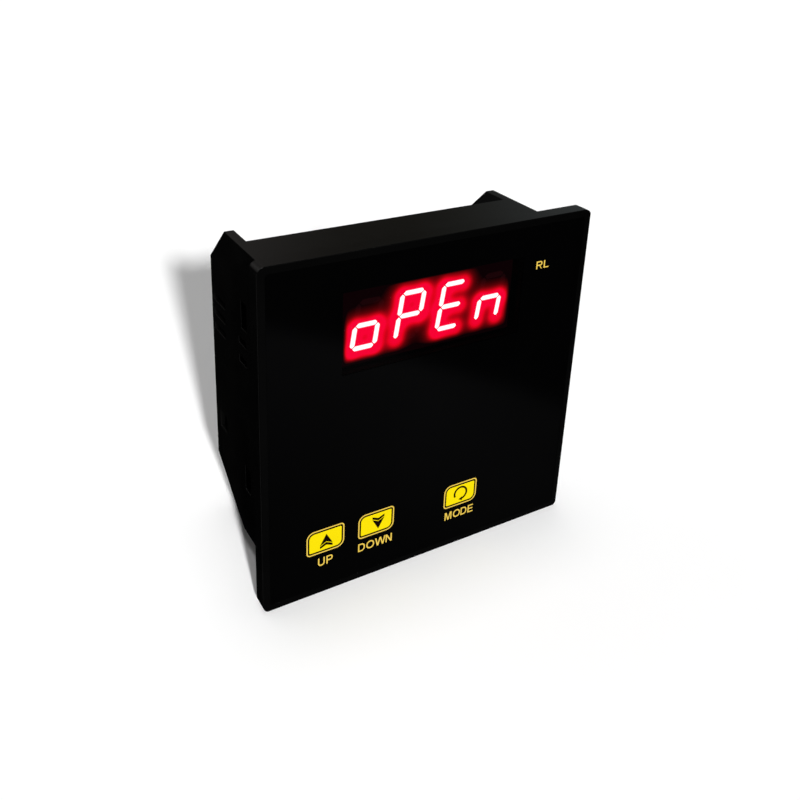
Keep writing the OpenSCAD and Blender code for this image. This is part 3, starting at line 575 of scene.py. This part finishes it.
film_black = printed_film("film_black", 1.0)
film_smoked = printed_film("film_smoked", SMOKE)
film = merged_copy("front_film")
for side in (-1, 1):
    cut(film, (side * WINDOW_W / 2, 0, 0), (1, 0, 0), CUT_GAP)
    cut(film, (0, 0, row_middle.z + side * WINDOW_H / 2), (0, 0, 1), CUT_GAP)
for face in film.faces:
    if past_window(face.calc_center_median()) < 0:
        face.material_index = 1
set_up("printed_sheet", film, [film_black, film_smoked], "housing", "front_film")

# Yellow print: a ring round each key, a short legend under it, and the mark of the relay lamp, all
# screen-printed on the sheet in one coat of satin ink.
INK = 0.02 * MM
RING_W = 10.85 * MM
RING_H = 7.45 * MM
RING_LINE = 0.36 * MM
RING_WIDE_R = 2.2 * MM
RING_TIGHT_R = 1.05 * MM
CORNER_STEPS = 8


def printed_ink(name, dark, light, shine):
    """Screen-printed ink, slightly uneven, with a satin face."""
    return skinned(name, dark, light, (0.3, 0.42), (3200.0, 500.0), (0.15, 0.006), (0.3, 0.7),
                   Specular_IOR_Level=shine)


def plate(mesh, width, height):
    """Draw a flat plate round the middle."""
    bmesh.ops.create_grid(mesh, x_segments=1, y_segments=1, size=0.5)
    bmesh.ops.scale(mesh, vec=(width, height, 1), verts=mesh.verts)


def hollow(mesh, line):
    """Leave only a line along the edge of a flat plate."""
    middle = mesh.faces[:]
    bmesh.ops.inset_region(mesh, faces=middle, thickness=line, use_boundary=True,
                           use_even_offset=True)
    bmesh.ops.delete(mesh, geom=middle, context="FACES")


def thicken(mesh):
    """Give a flat drawing the thickness of its ink."""
    bmesh.ops.recalc_face_normals(mesh, faces=mesh.faces)
    if mesh.faces[:][0].normal.z < 0:
        bmesh.ops.reverse_faces(mesh, faces=mesh.faces)
    drawn = bmesh.ops.extrude_face_region(mesh, geom=mesh.faces[:], use_keep_orig=True)["geom"]
    upper = [item for item in drawn if isinstance(item, bmesh.types.BMVert)]
    bmesh.ops.translate(mesh, verts=upper, vec=(0, 0, INK))
    bmesh.ops.recalc_face_normals(mesh, faces=mesh.faces)


def stand_up(mesh, x, y, z):
    """Turn a flat drawing to face the front, at a place on the front."""
    turn = Matrix.Rotation(math.radians(90), 4, "X")
    bmesh.ops.transform(mesh, matrix=Matrix.Translation((x, y, z)) @ turn, verts=mesh.verts)


yellow_ink = printed_ink("yellow_ink", (0.6, 0.415, 0.062), (0.64, 0.447, 0.075), 0.4)
for key in ("up", "down", "mode"):
    low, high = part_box("key_" + key)
    ring = bmesh.new()
    plate(ring, RING_W, RING_H)
    # The wide corners are the upper left and the lower right
    for radius, side in ((RING_WIDE_R, -1), (RING_TIGHT_R, 1)):
        corners = [vert for vert in ring.verts if vert.co.x * vert.co.y * side > 0]
        round_off(ring, corners, radius, CORNER_STEPS, "VERTICES")
    hollow(ring, RING_LINE)
    thicken(ring)
    stand_up(ring, (low.x + high.x) / 2, sheet_front, (low.z + high.z) / 2)
    set_up("ring_" + key, ring, [yellow_ink], "housing")

# Letters are drawn one unit high: plain ones by their corners, bowls by their width, lower and
# upper edge and left and right corner radius, legs by their left and right edge and their lean
CAP_H = 2.55 * MM
STROKE = 0.155
NEAR = 0.001
LETTER_GAP = 0.0001
PLAIN_LETTERS = {
    "E": ((0, 0), (0.74, 0), (0.74, 0.145), (0.165, 0.145), (0.165, 0.43), (0.68, 0.43),
          (0.68, 0.575), (0.165, 0.575), (0.165, 0.855), (0.72, 0.855), (0.72, 1), (0, 1)),
    "L": ((0, 0), (0.68, 0), (0.68, 0.145), (0.165, 0.145), (0.165, 1), (0, 1)),
    "M": ((0, 0), (0.155, 0), (0.155, 0.8), (0.39, 0), (0.56, 0), (0.795, 0.8), (0.795, 0),
          (0.95, 0), (0.95, 1), (0.71, 1), (0.475, 0.24), (0.24, 1), (0, 1)),
    "N": ((0, 0), (0.16, 0), (0.16, 0.72), (0.61, 0), (0.78, 0), (0.78, 1), (0.62, 1),
          (0.62, 0.28), (0.17, 1), (0, 1)),
    "W": ((0, 1), (0.25, 0), (0.43, 0), (0.655, 0.76), (0.88, 0), (1.06, 0), (1.31, 1), (1.14, 1),
          (0.97, 0.28), (0.745, 1), (0.565, 1), (0.34, 0.28), (0.17, 1)),
}
BOWLS = {"D": (0.83, 0, 1, 0, 0.44), "O": (0.97, 0, 1, 0.46, 0.46), "P": (0.76, 0.36, 1, 0, 0.3),
         "R": (0.8, 0.4, 1, 0, 0.28), "U": (0.8, 0, 1.5, 0.34, 0.34)}
LEGS = {"P": ((0, STROKE, 0),), "R": ((0, STROKE, 0), (0.4, 0.58, 0.26))}
LETTER_STEP = {"D": 1.0, "E": 0.93, "L": 0.85, "M": 1.16, "N": 1.0, "O": 1.07, "P": 0.93, "R": 1.0,
               "U": 1.0, "W": 1.33}


def bowl(mesh, width, low, high, left_r, right_r):
    """The closed loop of a letter, one stroke wide."""
    plate(mesh, width, high - low)
    bmesh.ops.translate(mesh, vec=(width / 2, (high + low) / 2, 0), verts=mesh.verts)
    for radius, is_right in ((left_r, False), (right_r, True)):
        corners = [vert for vert in mesh.verts if (vert.co.x > width / 2) == is_right]
        if radius:
            round_off(mesh, corners, radius, CORNER_STEPS, "VERTICES")
    hollow(mesh, STROKE)


def leg(mesh, low, left, right, lean):
    """Draw the part of a bowl's lower edge between left and right down to the foot line."""
    for x in (left, right):
        cut(mesh, (x, 0, 0), (1, 0, 0), LETTER_GAP)
    lower = [edge for edge in mesh.edges
             if all(abs(vert.co.y - low) < NEAR and left - NEAR < vert.co.x < right + NEAR
                    for vert in edge.verts)]
    drawn = bmesh.ops.extrude_edge_only(mesh, edges=lower)["geom"]
    feet = [item for item in drawn if isinstance(item, bmesh.types.BMVert)]
    bmesh.ops.translate(mesh, verts=feet, vec=(lean, -low, 0))


def capital(letter):
    """One flat bold capital, one unit high."""
    mesh = bmesh.new()
    if letter in PLAIN_LETTERS:
        mesh.faces.new([mesh.verts.new((x, y, 0)) for x, y in PLAIN_LETTERS[letter]])
        return mesh
    width, low, high, left_r, right_r = BOWLS[letter]
    bowl(mesh, width, low, high, left_r, right_r)
    for left, right, lean in LEGS.get(letter, ()):
        leg(mesh, low, left, right, lean)
    if high > 1:
        cut(mesh, (0, 1, 0), (0, 1, 0), LETTER_GAP, clear_outer=True)
    return mesh


def legend(name, words, x, z, width, height=CAP_H):
    """Bold capitals, centred at a place on the sheet and fitted to their width."""
    mesh = bmesh.new()
    pen = 0.0
    for letter in words:
        drawing = capital(letter)
        bmesh.ops.translate(drawing, verts=drawing.verts, vec=(pen, 0, 0))
        flat = bpy.data.meshes.new("capital")
        drawing.to_mesh(flat)
        drawing.free()
        mesh.from_mesh(flat)
        bpy.data.meshes.remove(flat)
        pen += LETTER_STEP[letter]
    length = max(vert.co.x for vert in mesh.verts)
    bmesh.ops.translate(mesh, verts=mesh.verts, vec=(-length / 2, -0.5, 0))
    bmesh.ops.scale(mesh, vec=(width / length, height, 1), verts=mesh.verts)
    thicken(mesh)
    stand_up(mesh, x, sheet_front, z)
    set_up(name, mesh, [yellow_ink], "housing")


legend("legend_up", "UP", -30.5 * MM, -37.95 * MM, 4.25 * MM)
legend("legend_down", "DOWN", -15.65 * MM, -37.95 * MM, 10.35 * MM)
legend("legend_mode", "MODE", 11.5 * MM, -37.83 * MM, 9.6 * MM)
legend("legend_relay", "RL", 32.9 * MM, 34.55 * MM, 4.15 * MM, 2.2 * MM)

# Keys: black moulded caps with a yellow face, each with a black printed sign: one arrow up, one
# down and one that turns round. A flange behind the front wall holds each cap in its window.
KEY_EDGE = 0.08 * MM
ARROW_HEAD = ((0, 1.9), (-1.85, -1.4), (0, -0.5), (1.85, -1.4))
CHEVRON = ((0, -0.72), (-1.82, -1.62), (-1.82, -2.3), (0, -1.52), (1.82, -2.3), (1.82, -1.62))
TURN_R = 2.0 * MM
TURN_LINE = 0.58 * MM
TURN_START = math.radians(208)
TURN_SWEEP = math.radians(283)
TURN_STEPS = 40
TURN_HEAD = ((-0.55, -2.0), (0.65, -1.35), (0.65, -2.65))
key_black = moulded("key_black", (0.002, 0.002, 0.002), (0.004, 0.004, 0.004), (0.4, 0.5))
key_yellow = moulded("key_yellow", (0.665, 0.53, 0.0021), (0.685, 0.55, 0.0025), (0.4, 0.5),
                     grain=2200.0, cloud=160.0, shine=0.2)
sign_black = printed_ink("sign_black", (0.0025, 0.0012, 0.0008), (0.004, 0.002, 0.0012), 0.15)


def outline(mesh, points, way=1):
    """One flat face with these corners in millimetres, upright or upside down by way."""
    mesh.faces.new([mesh.verts.new((x * MM, way * y * MM, 0)) for x, y in points])


def arrow_up(mesh, way=1):
    """An arrowhead with a hollow base, and a chevron behind it."""
    outline(mesh, ARROW_HEAD, way)
    outline(mesh, CHEVRON, way)


def arrow_down(mesh):
    """The same arrow upside down."""
    arrow_up(mesh, way=-1)


def turning_arrow(mesh):
    """An open ring drawn clockwise from its start, with an arrowhead at its end."""
    ends = [mesh.verts.new((TURN_R + side * TURN_LINE / 2, 0, 0)) for side in (-1, 1)]
    edge = mesh.edges.new(ends)
    bmesh.ops.rotate(mesh, verts=ends, cent=(0, 0, 0), matrix=Matrix.Rotation(TURN_START, 3, "Z"))
    bmesh.ops.spin(mesh, geom=[edge, *ends], cent=(0, 0, 0), axis=(0, 0, 1), angle=-TURN_SWEEP,
                   steps=TURN_STEPS)
    outline(mesh, TURN_HEAD)


for key, draw, across, up in (("up", arrow_up, 0.2 * MM, 0.0),
                              ("down", arrow_down, 0.6 * MM, -0.25 * MM),
                              ("mode", turning_arrow, 0.05 * MM, 0.15 * MM)):
    node = "key_" + key
    low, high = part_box(node)
    cap = merged_copy(node)
    ease_edges(cap, KEY_EDGE)
    for face in cap.faces:
        if face.calc_center_median().y < low.y + KEY_EDGE / 2:
            face.material_index = 1
    set_up("cap_" + key, cap, [key_black, key_yellow], key + "_key", node)
    sign = bmesh.new()
    draw(sign)
    thicken(sign)
    stand_up(sign, (low.x + high.x) / 2 + across, low.y, (low.z + high.z) / 2 + up)
    set_up("sign_" + key, sign, [sign_black], key + "_key")

# Studio: a plain white floor, a strong light in front, and weak soft ones above and behind. Gloss
# reflects a dim room: a table in front, a far wall that is brighter on the right, and a low glow
# behind, cut by an upright dark card that keeps the left cheek black.
FLOOR_SIZE = 6.0
TABLE_TILT = (0.22, 0, 1)
CARD_ACROSS = (0.937, 0.35, 0)
REAR_GLOW = (0.3, 0.3, 0.3, 1)
WHITE = (1, 1, 1, 1)
floor_mesh = bmesh.new()
bmesh.ops.create_grid(floor_mesh, x_segments=1, y_segments=1, size=FLOOR_SIZE / 2)
bmesh.ops.translate(floor_mesh, verts=floor_mesh.verts, vec=(0, 0, cad_box[0][2]))
floor = as_object("floor", floor_mesh)
floor_white, floor_tree, floor_shader, _ = new_finish("floor_white")
fill(floor_tree, floor_shader, {"Base Color": WHITE, "Roughness": 1.0, "Specular IOR Level": 0.0})
floor.data.materials.append(floor_white)
floor.visible_glossy = False
floor.visible_diffuse = False

world = bpy.data.worlds.new("room")
bpy.context.scene.world = world
world.use_nodes = True
room = world.node_tree
room.nodes.clear()
look = add(room, "TexCoord").outputs["Generated"]
way = add(room, "SeparateXYZ", {"Vector": look}).outputs


def soft_edge(value, low, high, start, end):
    """A smooth change from low to high across a part of the room."""
    return spread(room, value, low, high, start, end, "SMOOTHSTEP")


def glowing(colour, strength, *shares):
    """Light from a part of the room, its strength multiplied by its shares."""
    for share in shares:
        strength = number_step(room, "MULTIPLY", strength, share)
    return add(room, "Background", {"Color": colour, "Strength": strength}).outputs["Background"]


across_table = vector_step(room, "DOT_PRODUCT", look, TABLE_TILT)["Value"]
table_glow = ramp(room, spread(room, across_table, 0, 1, -1, 1),
                  (0.0, (0.004, 0.004, 0.004)), (0.225, (0.014, 0.014, 0.014)),
                  (0.3075, (0.046, 0.046, 0.048)), (0.3175, (0.004, 0.004, 0.004)),
                  (0.5, (0.006, 0.006, 0.006)), (1.0, (0.02, 0.02, 0.02)))
wall_glow = ramp(room, way["X"],
                 (0.3, (0.125, 0.117, 0.112)), (0.42, (0.038, 0.035, 0.029)),
                 (0.5, (0.034, 0.031, 0.024)), (0.56, (0.058, 0.058, 0.052)),
                 (0.62, (0.12, 0.13, 0.13)), (0.75, (0.3, 0.34, 0.34)))
past_card = number_step(room, "ABSOLUTE",
                        vector_step(room, "DOT_PRODUCT", look, CARD_ACROSS)["Value"])
table = glowing(table_glow, soft_edge(way["Y"], 1, 0.1, -0.3, 0.1),
                spread(room, way["X"], 1, 0.4, 0.48, 0.62))
wall = glowing(wall_glow, soft_edge(way["Y"], 0, 1, 0.4, 0.7),
               soft_edge(way["Z"], 0, 1, 0.02, 0.22))
rear = glowing(REAR_GLOW, soft_edge(way["Y"], 0, 1, -0.2, 0.15),
               soft_edge(way["Z"], 1, 0, -0.12, 0.02), soft_edge(past_card, 0, 1, 0.26, 0.5))
behind = add(room, "AddShader", {0: wall, 1: rear}).outputs["Shader"]
dim_room = add(room, "AddShader", {0: table, 1: behind}).outputs["Shader"]
seen = add(room, "LightPath").outputs["Is Camera Ray"]
shown = add(room, "MixShader", {0: seen, 1: dim_room, 2: glowing(WHITE, 1.0)}).outputs["Shader"]
add(room, "OutputWorld", {"Surface": shown})


def soft_sun(name, towards, strength, width, glints=True):
    """Even soft light from one side, its width in degrees, with or without glints on gloss."""
    light = bpy.data.lights.new(name, "SUN")
    light.energy = strength
    light.angle = math.radians(width)
    lamp = bpy.data.objects.new(name, light)
    lamp.rotation_euler = Vector(towards).to_track_quat("Z", "Y").to_euler()
    lamp.visible_glossy = glints
    bpy.context.scene.collection.objects.link(lamp)


soft_sun("key_light", (-0.2, -0.9, 0.4), 5.2, 3.5, glints=False)
soft_sun("ceiling_light", (0.03, 0.08, 1.0), 1.0, 26)
soft_sun("back_light", (-0.55, 0.6, 0.6), 0.15, 40)

# Camera: at the photograph's viewpoint, in front on the left and above, looking down at the
# front. Place, turn and lens come from fitting the corners seen in the photograph.
CAMERA_AT = Vector((-114.585, -173.238, 124.768)) * MM
CAMERA_TURN = -30.979
CAMERA_TILT = 68.59
CAMERA_ROLL = 2.227
SENSOR = 36
LENS = 40.364
SHIFT_X = 0.0073
SHIFT_Y = -0.1932
NEAREST_SEEN = 0.01
camera_data = bpy.data.cameras.new("camera")
camera_data.sensor_width = SENSOR
camera_data.lens = LENS
camera_data.shift_x = SHIFT_X
camera_data.shift_y = SHIFT_Y
camera_data.clip_start = NEAREST_SEEN
camera = bpy.data.objects.new("camera", camera_data)
bpy.context.scene.collection.objects.link(camera)
camera.matrix_world = (Matrix.Translation(CAMERA_AT)
                       @ Matrix.Rotation(math.radians(CAMERA_TURN), 4, "Z")
                       @ Matrix.Rotation(math.radians(CAMERA_TILT), 4, "X")
                       @ Matrix.Rotation(math.radians(CAMERA_ROLL), 4, "Z"))
bpy.context.scene.camera = camera
bpy.context.scene.view_settings.view_transform = "Standard"
